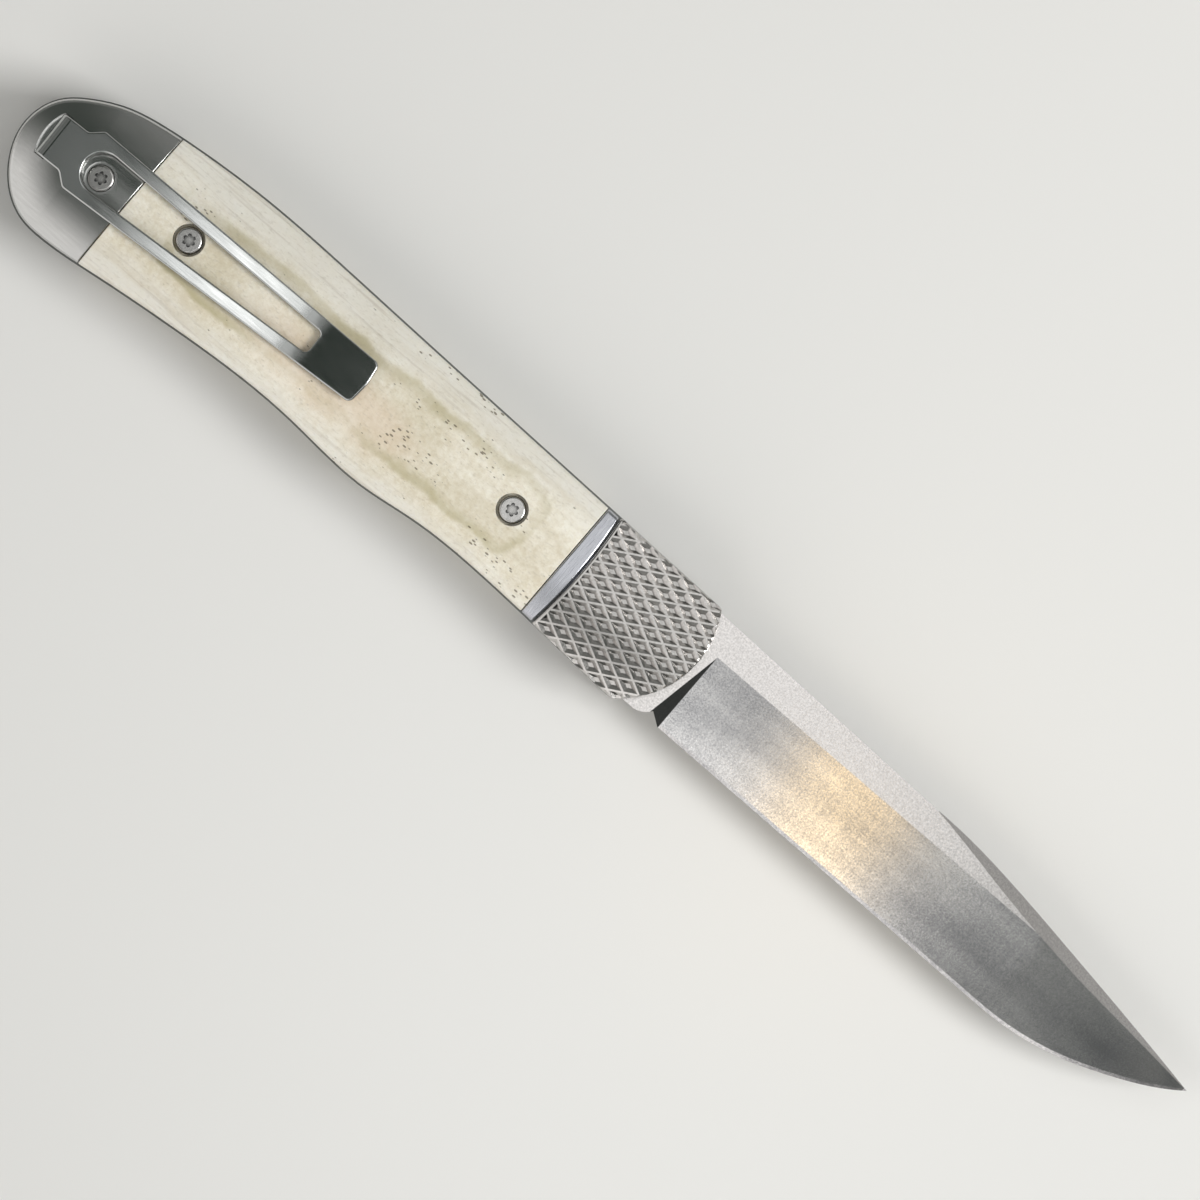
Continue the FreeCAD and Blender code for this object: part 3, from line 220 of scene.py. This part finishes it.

# Each strip is cut across between its fixed foot and the end that the swinging lever moves
strip_crease = 30
bend_count = 12
for node, name, body, foot_x, end_x in (
        ("sear_leaf", "flexing_sear_leaf", "sear", -0.0094, -0.0024),
        ("return_spring", "flexing_return_spring", "release", -0.0456, -0.0285)):
    bends = [foot_x + (end_x - foot_x) * i / bend_count for i in range(bend_count + 1)]
    strip = finished_copy(node, name, tempered_strip, strip_crease, bends=bends)
    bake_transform(strip)
dress(turned_steel, "lever_screws", "lever_stud", "return_post", "sear_rivet")


# Liners, backspacer and frame pins
# Two blanked steel liners and a spacer along the back, pinned through into one frame.
# Their ground edges show as a thin grey line round the handle.

# Ground sheet: plain dull grey, with fine lines along the sheet
ground_sheet = finished_metal("ground_sheet", "#8C8D8B", "#5F605E", roughness=0.38, spread=0.08,
                              grain=(1.6, 0.2, 0.1), bump_mm=0.004)
dress(ground_sheet, "right_liner", "left_liner", "backspacer")
dress(turned_steel, "frame_pins", "band_rivets")


# Bone scales
# Two slabs of smooth bone, rounded over and polished, each held by two screws from outside.
# Ivory, with tan and olive where the bone has taken up stain, and small dark pores along its grain.


def oval(tree, place, middle, radii):
    # 1 in the middle of an oval on the side of the handle, in millimetres, falling to 0 at its edge
    offset = add(tree, "ShaderNodeVectorMath", {0: place, 1: [m / 1000 for m in middle] + [0.0]},
                 operation="SUBTRACT")
    scaled = add(tree, "ShaderNodeVectorMath", {0: offset.outputs["Vector"], 1: per_mm(*radii) + [0.0]},
                 operation="MULTIPLY")
    distance = add(tree, "ShaderNodeVectorMath", {0: scaled.outputs["Vector"]}, operation="LENGTH")
    return add(tree, "ShaderNodeMapRange",
               {"Value": distance.outputs["Value"], "From Min": 1.0, "From Max": 0.3},
               interpolation_type="SMOOTHSTEP").outputs["Result"]


# Polished bone: pale ivory with a soft shine, whiter to the edges, and its grain runs along the handle
material, tree, shader, place = start_material("polished_bone")

# Places bent by a slow wander, so that no mark of the bone runs quite straight
wander_mm = 7
wander_reach = (0.005, 0.0032, 0.0)
wander = add(tree, "ShaderNodeTexNoise",
             {"Vector": place, "Scale": per_mm(wander_mm)[0], "Detail": 3.0, "Roughness": 0.55})
drift = add(tree, "ShaderNodeVectorMath", {0: wander.outputs["Color"], 1: (0.5, 0.5, 0.5)},
            operation="SUBTRACT")
bent = add(tree, "ShaderNodeVectorMath", {0: drift.outputs["Vector"], 1: wander_reach, 2: place},
           operation="MULTIPLY_ADD").outputs["Vector"]

# Ivory in soft patches with a finer mottle, whiter to the edges, with tan streaks
streak_mm = (30, 2.2, 6)
patch_mm = 12
mottle_mm = 0.9
edge_from, edge_to = 0.0045, 0.0085
streak_map = add(tree, "ShaderNodeMapping", {"Vector": bent, "Scale": per_mm(*streak_mm)})
streaks = add(tree, "ShaderNodeTexNoise", {"Vector": streak_map.outputs["Vector"], "Scale": 1.0,
                                           "Detail": 5.0, "Roughness": 0.55}).outputs["Fac"]
patches = add(tree, "ShaderNodeTexNoise", {"Vector": bent, "Scale": per_mm(patch_mm)[0], "Detail": 2.0,
                                           "Roughness": 0.5}).outputs["Fac"]
mottle = add(tree, "ShaderNodeTexNoise", {"Vector": place, "Scale": per_mm(mottle_mm)[0], "Detail": 4.0,
                                          "Roughness": 0.75}).outputs["Fac"]
blotch = add(tree, "ShaderNodeMixRGB", {"Fac": 0.55, "Color1": patches, "Color2": mottle})
blotchy = add(tree, "ShaderNodeMapRange",
              {"Value": blotch.outputs["Color"], "From Min": 0.38, "From Max": 0.62})
ivory = add(tree, "ShaderNodeMixRGB", {"Fac": blotchy.outputs["Result"], "Color1": linear("#F6F1E3"),
                                       "Color2": linear("#DCD2BA")})
across = add(tree, "ShaderNodeSeparateXYZ", {"Vector": bent})
off_middle = add(tree, "ShaderNodeMath", {0: across.outputs["Y"]}, operation="ABSOLUTE")
edge_share = add(tree, "ShaderNodeMapRange",
                 {"Value": off_middle.outputs["Value"], "From Min": edge_from, "From Max": edge_to,
                  "To Max": 0.75}, interpolation_type="SMOOTHSTEP").outputs["Result"]
edged = add(tree, "ShaderNodeMixRGB", {"Fac": edge_share, "Color1": ivory.outputs["Color"],
                                       "Color2": linear("#E8E5DC")})
tan_share = add(tree, "ShaderNodeMapRange",
                {"Value": streaks, "From Min": 0.5, "From Max": 0.74, "To Max": 0.35})
streaked = add(tree, "ShaderNodeMixRGB", {"Fac": tan_share.outputs["Result"],
                                          "Color1": edged.outputs["Color"], "Color2": linear("#C7B99B")})

# Grain: fine grey-brown lines where the rounded edges cut along the fibres
grain_mm = (12, 0.42, 4)
grain_map = add(tree, "ShaderNodeMapping", {"Vector": place, "Scale": per_mm(*grain_mm)})
grain = add(tree, "ShaderNodeTexNoise", {"Vector": grain_map.outputs["Vector"], "Scale": 1.0, "Detail": 3.0})
fine_lines = add(tree, "ShaderNodeMapRange", {"Value": grain.outputs["Fac"], "From Min": 0.54,
                                              "From Max": 0.72, "To Max": 0.5})
grained_share = add(tree, "ShaderNodeMath", {0: fine_lines.outputs["Result"], 1: edge_share},
                    operation="MULTIPLY")
grained = add(tree, "ShaderNodeMixRGB", {"Fac": grained_share.outputs["Value"],
                                         "Color1": streaked.outputs["Color"], "Color2": linear("#A89C8A")})

# Blush and painted shadow: a warm cloud along the middle, behind and under the clip's tip, partly the bone's
# own tan and partly the clip tip's shadow painted on the bone
blush_shadow_middle, blush_shadow_radii = (-45, -1.5), (19, 5.5)
blush_and_shadow = add(tree, "ShaderNodeMath", {0: oval(tree, bent, blush_shadow_middle, blush_shadow_radii), 1: patches},
            operation="MULTIPLY")
blushed_and_shadowed = add(tree, "ShaderNodeMixRGB", {"Fac": blush_and_shadow.outputs["Value"], "Color1": grained.outputs["Color"],
                                         "Color2": linear("#DCBFA0")})

# Stain: a blunt tongue along the middle, olive just inside its edge and crisp outside it
tongue_middle = (-0.0422, 0.0009, 0.0)
tongue_half = (0.0288, 0.0049)
tongue_corner = 0.0024
stain_begins, stain_full = tongue_corner - 0.0019, tongue_corner - 0.0002
stain_fades, stain_ends = tongue_corner - 0.0001, tongue_corner + 0.0006
through_bone = 1.0
core = [half - tongue_corner for half in tongue_half] + [through_bone]
from_middle = add(tree, "ShaderNodeVectorMath", {0: bent, 1: tongue_middle}, operation="SUBTRACT")
folded = add(tree, "ShaderNodeVectorMath", {0: from_middle.outputs["Vector"]}, operation="ABSOLUTE")
past = add(tree, "ShaderNodeVectorMath", {0: folded.outputs["Vector"], 1: core}, operation="SUBTRACT")
outside = add(tree, "ShaderNodeVectorMath", {0: past.outputs["Vector"], 1: (0.0, 0.0, 0.0)},
              operation="MAXIMUM")
reach = add(tree, "ShaderNodeVectorMath", {0: outside.outputs["Vector"]}, operation="LENGTH")
parts = add(tree, "ShaderNodeSeparateXYZ", {"Vector": past.outputs["Vector"]})
deepest = add(tree, "ShaderNodeMath", {0: parts.outputs["X"], 1: parts.outputs["Y"]}, operation="MAXIMUM")
inside = add(tree, "ShaderNodeMath", {0: deepest.outputs["Value"], 1: 0.0}, operation="MINIMUM")
edge_gap = add(tree, "ShaderNodeMath", {0: reach.outputs["Value"], 1: inside.outputs["Value"]},
               operation="ADD").outputs["Value"]
stain_in = add(tree, "ShaderNodeMapRange", {"Value": edge_gap, "From Min": stain_begins,
                                            "From Max": stain_full, "To Min": 0.1, "To Max": 0.72},
               interpolation_type="SMOOTHSTEP")
stain_out = add(tree, "ShaderNodeMapRange", {"Value": edge_gap, "From Min": stain_fades,
                                             "From Max": stain_ends, "To Min": 1.0, "To Max": 0.0},
                interpolation_type="SMOOTHSTEP")
uneven = add(tree, "ShaderNodeMapRange",
             {"Value": patches, "From Min": 0.35, "From Max": 0.65, "To Min": 0.15})
rim = add(tree, "ShaderNodeMath", {0: stain_in.outputs["Result"], 1: stain_out.outputs["Result"]},
          operation="MULTIPLY")
stain = add(tree, "ShaderNodeMath", {0: rim.outputs["Value"], 1: uneven.outputs["Result"]},
            operation="MULTIPLY")
stained = add(tree, "ShaderNodeMixRGB", {"Fac": stain.outputs["Value"], "Color1": blushed_and_shadowed.outputs["Color"],
                                         "Color2": linear("#B8AE86")})

# Flecks: the cut ends of fine fibres, faint and grey-brown over the whole face
fleck_mm = (0.7, 0.26, 0.4)
fleck_map = add(tree, "ShaderNodeMapping", {"Vector": place, "Scale": per_mm(*fleck_mm)})
fleck_noise = add(tree, "ShaderNodeTexNoise",
                  {"Vector": fleck_map.outputs["Vector"], "Scale": 1.0, "Detail": 2.0})
flecks = add(tree, "ShaderNodeMapRange", {"Value": fleck_noise.outputs["Fac"], "From Min": 0.56,
                                          "From Max": 0.74, "To Max": 0.24})
flecked = add(tree, "ShaderNodeMixRGB", {"Fac": flecks.outputs["Result"], "Color1": stained.outputs["Color"],
                                         "Color2": linear("#9E927C")})

# Pores: short dark pits along the grain, gathered in rows on the front half and along the edges.
# Each row is an oval: its middle, its radii in millimetres, and how much it crowds the pores.
pore_mm = (1.1, 0.45, 1.6)
crowd_mm = 4
pore_rows = [((-28, 3.8), (12, 2.2), 0.34), ((-31, -1.2), (8, 3.2), 0.28), ((-17, -4.8), (10, 1.8), 0.34),
             ((-11, -6.3), (6, 2.0), 0.45), ((-34, 9.8), (18, 1.3), 0.25), ((-72, 4.5), (4, 4.0), 0.25)]
pore_map = add(tree, "ShaderNodeMapping", {"Vector": place, "Scale": per_mm(*pore_mm)})
cells = add(tree, "ShaderNodeTexVoronoi", {"Vector": pore_map.outputs["Vector"], "Scale": 1.0,
                                           "Randomness": 1.0})
crowding = add(tree, "ShaderNodeTexNoise",
               {"Vector": place, "Scale": per_mm(crowd_mm)[0], "Detail": 2.0}).outputs["Fac"]
for middle, radii, share in pore_rows:
    row = oval(tree, place, middle, radii)
    crowding = add(tree, "ShaderNodeMath", {0: row, 1: share, 2: crowding},
                   operation="MULTIPLY_ADD").outputs["Value"]
pore_size = add(tree, "ShaderNodeMapRange", {"Value": crowding, "From Min": 0.52, "From Max": 0.78,
                                             "To Min": 0.0, "To Max": 0.29})
pore_rim = add(tree, "ShaderNodeMath", {0: pore_size.outputs["Result"], 1: cells.outputs["Distance"]},
               operation="SUBTRACT")
pore = add(tree, "ShaderNodeMapRange", {"Value": pore_rim.outputs["Value"], "From Min": 0.0, "From Max": 0.07,
                                        "To Max": 0.8})
pored = add(tree, "ShaderNodeMixRGB", {"Fac": pore.outputs["Result"], "Color1": flecked.outputs["Color"],
                                       "Color2": linear("#6A5F4A")})

# Polish: streaks stand a little proud and are less glossy, pores are sunk, and light goes a little way in
bone_relief = 0.00004
surface = add(tree, "ShaderNodeMath", {0: streaks, 1: pore.outputs["Result"]}, operation="SUBTRACT")
height = add(tree, "ShaderNodeBump", {"Height": surface.outputs["Value"], "Strength": 0.6,
                                      "Distance": bone_relief})
gloss = add(tree, "ShaderNodeMapRange", {"Value": streaks, "From Min": 0.3, "From Max": 0.7,
                                         "To Min": 0.3, "To Max": 0.42})
tree.links.new(pored.outputs["Color"], shader.inputs["Base Color"])
tree.links.new(height.outputs["Normal"], shader.inputs["Normal"])
tree.links.new(gloss.outputs["Result"], shader.inputs["Roughness"])
shader.inputs["IOR"].default_value = 1.54
shader.inputs["Subsurface Weight"].default_value = 0.12
shader.inputs["Subsurface Radius"].default_value = (1.0, 0.8, 0.5)
shader.inputs["Subsurface Scale"].default_value = 0.0012
bone_crease = 15
for side in ("right", "left"):
    scale = finished_copy(f"{side}_scale", f"{side}_bone_scale", material, bone_crease)
    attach(scale, "frame")


# End caps
# Domed steel caps over the butt, polished, each held by one screw.
# The right one is slotted for the clip.

# Buffed steel: mirrors the room, a little softened by faint handling scratches
buffed_steel = finished_metal("buffed_steel", "#CFCFCD", "#C0C0BE", roughness=0.16, spread=0.03,
                              grain=(3.0, 0.35, 0.35), bump_mm=0.0006)
dress(buffed_steel, "right_end_cap", "left_end_cap")


# Bands
# Narrow steel bands between bone and bolster, riveted to the liners.
# Brushed across the handle, with bright broken edges.

# Brushed steel: cool grey, with close fine lines that spread the shine
brushed_band = finished_metal("brushed_band", "#D2D3D8", "#A8A9B0", roughness=0.26, spread=0.07,
                              grain=(0.16, 1.8, 0.6), bump_mm=0.003)
dress(brushed_band, "right_band", "left_band")


# Bolsters
# Steel blocks milled with crossing ridges that leave diamond pits. The right one swings to release the blade.
# The left one is held by screws from inside.

# Knurled steel, lightly blasted: pale ridges, with painted shade down in the pits
knurled_steel = finished_metal("knurled_steel", "#D8D5D2", "#AEABA8", roughness=0.22, spread=0.06,
                               grain=(0.4, 0.4, 0.4), bump_mm=0.003, shade_reach_mm=0.8)
dress(knurled_steel, "release_bolster", "left_bolster")
dress(turned_steel, "left_bolster_screws")


# Pocket clip
# A strip of spring steel, bent up through the cap's slot and back over the bone, with a long window.
# Polished, with broken edges. Its foot is held under the cap, and the leaf flexes.

# Polished strip: a clear mirror with faint lines along it, with painted shade in its corners
mirror_strip = finished_metal("mirror_strip", "#C2C3C2", "#AFB1AF", roughness=0.11, spread=0.03,
                              grain=(4.0, 0.3, 0.3), bump_mm=0.0005, shade_reach_mm=1.0)

# The bend by the tip is buffed less than the flats, so that a reflection blurs over it
bend_x = -0.0511
bend_reach = 0.0028
bend_roughness = 0.36
tree = mirror_strip.node_tree
shader = tree.nodes["Principled BSDF"]
place = add(tree, "ShaderNodeTexCoord").outputs["Object"]
along = add(tree, "ShaderNodeSeparateXYZ", {"Vector": place})
from_bend = add(tree, "ShaderNodeMath", {0: along.outputs["X"], 1: bend_x}, operation="SUBTRACT")
off_bend = add(tree, "ShaderNodeMath", {0: from_bend.outputs["Value"]}, operation="ABSOLUTE")
buffed = shader.inputs["Roughness"].links[0].from_socket
gloss = add(tree, "ShaderNodeMapRange", {"Value": off_bend.outputs["Value"], "From Max": bend_reach,
                                         "To Min": bend_roughness, "To Max": buffed},
            interpolation_type="SMOOTHSTEP")
tree.links.new(gloss.outputs["Result"], shader.inputs["Roughness"])

clip_crease = 50
clip_edge_break = 0.00026
clip = finished_copy("pocket_clip", "polished_pocket_clip", mirror_strip, clip_crease, clip_edge_break)
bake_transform(clip)


# Screws of the scales and caps
# Small steel screws with round-edged heads and six-lobe recesses, sunk in counterbores.
# Turned bright, so that the rim of each head catches the light.
dress(turned_steel, "right_scale_screws", "left_scale_screws", "right_cap_screw", "left_cap_screw")


# Floor
# A pale matt sheet that the knife lies on.
# Uncoated paper: no shine, so that it takes a soft shadow.
floor_half = 3.0
floor_mesh = bpy.data.meshes.new("pale_floor")
corners = [(x * floor_half, y * floor_half, 0.0) for x, y in ((-1, -1), (1, -1), (1, 1), (-1, 1))]
floor_mesh.from_pydata(corners, [], [(0, 1, 2, 3)])
floor = bpy.data.objects.new("pale_floor", floor_mesh)
bpy.context.scene.collection.objects.link(floor)
material, _, shader, _ = start_material("matt_sheet")
shader.inputs["Base Color"].default_value = linear("#E9E8E5")
shader.inputs["Roughness"].default_value = 0.9
floor_mesh.materials.append(material)


# Light
# A large soft key beyond the tip, and cards that the flat metal mirrors: over the handle, past the belly,
# over the clip's arms and root, and beside the blade.
# A small warm lamp with a grid glows in the middle of the bevel.


def lamp(name, place, aim, width, depth, radiance, colour="#FFFFFF", spread=180):
    light = bpy.data.lights.new(name, "AREA")
    light.shape = "RECTANGLE"
    light.size = width
    light.size_y = depth
    light.energy = radiance * math.pi * width * depth
    light.color = linear(colour)[:3]
    light.spread = math.radians(spread)
    holder = bpy.data.objects.new(name, light)
    bpy.context.scene.collection.objects.link(holder)
    holder.location = place
    holder.rotation_euler = (Vector(aim) - Vector(place)).to_track_quat("-Z", "Y").to_euler()
    holder.visible_camera = False


lamp("key_softbox", (0.754, 0.305, 0.813), (0.0, 0.0, 0.0), width=0.5, depth=0.5, radiance=11.6)
lamp("overhead_card", (0.008, 0.095, 0.36), (0.008, 0.095, 0.0), width=0.168, depth=0.33, radiance=0.98)
lamp("belly_card", (-0.03, -0.16, 0.36), (-0.03, -0.16, 0.0), width=0.06, depth=0.2, radiance=0.8)
lamp("clip_arm_card", (-0.0735, 0.0, 0.35), (-0.0735, 0.0, 0.0), width=0.027, depth=0.03, radiance=1.3)
lamp("clip_root_card", (-0.0965, 0.0, 0.15), (-0.0965, 0.0, 0.0), width=0.015, depth=0.016, radiance=0.13)
lamp("blade_card", (0.036, -0.05, 0.1), (0.036, -0.01, 0.0), width=0.05, depth=0.05, radiance=0.95)
lamp("warm_lamp", (0.041, -0.02, 0.06), (0.041, 0.0, 0.006), width=0.015, depth=0.036, radiance=0.2,
     colour="#FFD070", spread=75)


# Sky
# The studio round the knife: pale on the belly's side, and grey on the spine's side, darker to the butt.
# It falls to a dark grey-green overhead, beyond the tip and in a gap between the cards.


def cosine(degrees):
    return math.cos(math.radians(degrees))


lit_axis = (0.35, -0.937, 0.0)
dark_axis = (0.17, 0.0, 0.985)
gap_axis = (-0.2, 0.0, 0.98)
world = bpy.data.worlds.new("studio_sky")
bpy.context.scene.world = world
world.use_nodes = True
tree = world.node_tree
toward = add(tree, "ShaderNodeTexCoord").outputs["Generated"]
parts = add(tree, "ShaderNodeSeparateXYZ", {"Vector": toward})
lit_side = add(tree, "ShaderNodeVectorMath", {0: toward, 1: lit_axis}, operation="DOT_PRODUCT")
lit = add(tree, "ShaderNodeMapRange",
          {"Value": lit_side.outputs["Value"], "From Min": -0.35, "From Max": 0.45},
          interpolation_type="SMOOTHSTEP")
ahead = add(tree, "ShaderNodeMapRange", {"Value": parts.outputs["X"], "From Min": -0.45, "From Max": 0.25,
                                         "To Min": 0.06, "To Max": 0.42}, interpolation_type="SMOOTHSTEP")
upper = add(tree, "ShaderNodeMapRange",
            {"Value": parts.outputs["Z"], "From Min": cosine(63), "From Max": cosine(39), "To Min": 0.22,
             "To Max": ahead.outputs["Result"]}, interpolation_type="SMOOTHSTEP")
side = add(tree, "ShaderNodeMapRange", {"Value": lit.outputs["Result"], "To Min": upper.outputs["Result"],
                                        "To Max": 1.45})
dark_side = add(tree, "ShaderNodeVectorMath", {0: toward, 1: dark_axis}, operation="DOT_PRODUCT")
overhead = add(tree, "ShaderNodeMapRange",
               {"Value": dark_side.outputs["Value"], "From Min": cosine(42), "From Max": cosine(22),
                "To Min": 1.0, "To Max": 0.075})
past_tip = add(tree, "ShaderNodeMapRange", {"Value": parts.outputs["X"], "From Min": 0.2, "From Max": 0.6,
                                            "To Min": 1.0, "To Max": 0.05})
gap_side = add(tree, "ShaderNodeVectorMath", {0: toward, 1: gap_axis}, operation="DOT_PRODUCT")
gap = add(tree, "ShaderNodeMapRange", {"Value": gap_side.outputs["Value"], "From Min": cosine(11),
                                       "From Max": cosine(6), "To Min": 1.0, "To Max": 0.4})
brightness = side.outputs["Result"]
for shade in (overhead, past_tip, gap):
    brightness = add(tree, "ShaderNodeMath", {0: brightness, 1: shade.outputs["Result"]},
                     operation="MULTIPLY").outputs["Value"]
sky = add(tree, "ShaderNodeMixRGB", {"Fac": brightness, "Color1": linear("#2A342D"),
                                     "Color2": linear("#FFFDFB")})
tree.links.new(sky.outputs["Color"], tree.nodes["Background"].inputs["Color"])


# Camera
# Straight down on the clip side, turned so that the knife runs from upper left to lower right.
# Its lens takes in the photo's width at about the height of the blade's upper side.
photo_span = 0.15104
photo_middle = (-0.00115, -0.00001)
knife_across, knife_down = 0.7604, 0.6494
photo_turn = math.atan2(knife_down, knife_across)
camera_height = 1.1
drawn_height = 0.008
camera_data = bpy.data.cameras.new("camera")
camera = bpy.data.objects.new("camera", camera_data)
bpy.context.scene.collection.objects.link(camera)
camera.location = (*photo_middle, camera_height)
camera.rotation_euler = (0.0, 0.0, photo_turn)
camera_data.lens = camera_data.sensor_width * (camera_height - drawn_height) / photo_span
bpy.context.scene.camera = camera
bpy.context.scene.view_settings.view_transform = "Standard"
